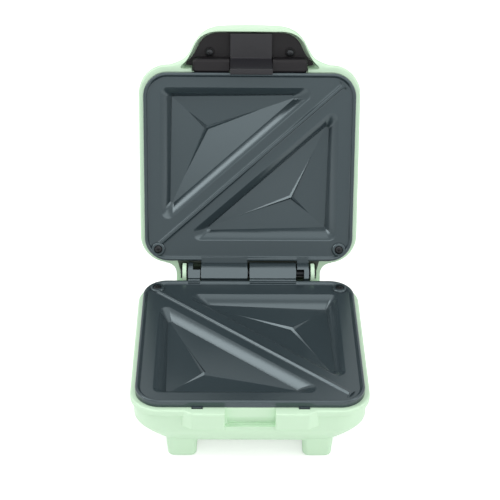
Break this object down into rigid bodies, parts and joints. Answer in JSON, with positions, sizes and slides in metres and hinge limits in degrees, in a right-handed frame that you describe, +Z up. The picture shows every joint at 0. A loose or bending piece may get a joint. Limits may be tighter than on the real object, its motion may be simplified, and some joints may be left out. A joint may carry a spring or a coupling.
{
  "type": "sandwich maker",
  "caption": "Countertop sandwich maker: hinged square non-stick plates with triangular pockets and a diagonal ridge, a hollow handle with a pivoting latch, and short feet.",
  "frame": {"origin": "centre of the overall bounding box in plan, at the level that the foot pads stand on, with the lid open as pictured", "axes": "+Z up, -Y to the front where the lid's handle closes, +X to the right as seen from the front"},
  "size_m": [0.138, 0.2042, 0.1935],
  "materials": {
    "mint_plastic": "satin moulded plastic, mint green",
    "non_stick_plate": "cast aluminium with a dark grey non-stick coat",
    "heater_sheath": "dull heater sheath",
    "sheet_steel": "bright sheet",
    "screw_steel": "dark plated",
    "pin_steel": "drawn bright",
    "ceramic": "off-white, unglazed",
    "sleeving": "glass-fibre sleeving",
    "rubber": "matte",
    "black_plastic": "fine texture, black",
    "latch_plastic": "satin charcoal",
    "red_lens": "clear-tinted red",
    "green_lens": "clear-tinted green"
  },
  "bodies": {
    "base": {"base_shell": "mint_plastic", "lower_plate": "non_stick_plate", "lower_heating_element": "heater_sheath", "lower_reflector": "sheet_steel", "lower_plate_screw_left": "screw_steel", "lower_plate_screw_right": "screw_steel", "thermostat": "ceramic", "thermal_fuse": "sleeving", "terminal_block": "ceramic", "cord_gland": "rubber", "cord_clamp": "black_plastic", "cord_clamp_screw_left": "screw_steel", "cord_clamp_screw_right": "screw_steel", "base_leads": "sleeving", "foot_pad_front_left": "rubber", "foot_pad_front_right": "rubber", "foot_pad_rear_left": "rubber", "foot_pad_rear_right": "rubber", "hinge_pin": "pin_steel", "hinge_pin_clip": "pin_steel"},
    "lid": {"lid_shell": "mint_plastic", "upper_plate": "non_stick_plate", "upper_heating_element": "heater_sheath", "upper_reflector": "sheet_steel", "upper_plate_screw_left": "screw_steel", "upper_plate_screw_right": "screw_steel", "handle_cover": "black_plastic", "handle_cover_screw_left": "screw_steel", "handle_cover_screw_right": "screw_steel", "lamp_holder": "ceramic", "power_lens": "red_lens", "ready_lens": "green_lens", "lid_leads": "sleeving", "latch_pin": "pin_steel"},
    "latch": {"latch": "latch_plastic"}
  },
  "joints": [
    {"name": "lid_hinge", "type": "hinge", "parent": "base", "child": "lid", "pos_m": [0, 0.03318, 0.0452], "axis": [1, 0, 0], "range_deg": [0, 107.6]},
    {"name": "latch_pivot", "type": "hinge", "parent": "lid", "child": "latch", "pos_m": [0, 0.08435, 0.17511], "axis": [1, 0, 0], "range_deg": [-12, 4]}
  ]
}
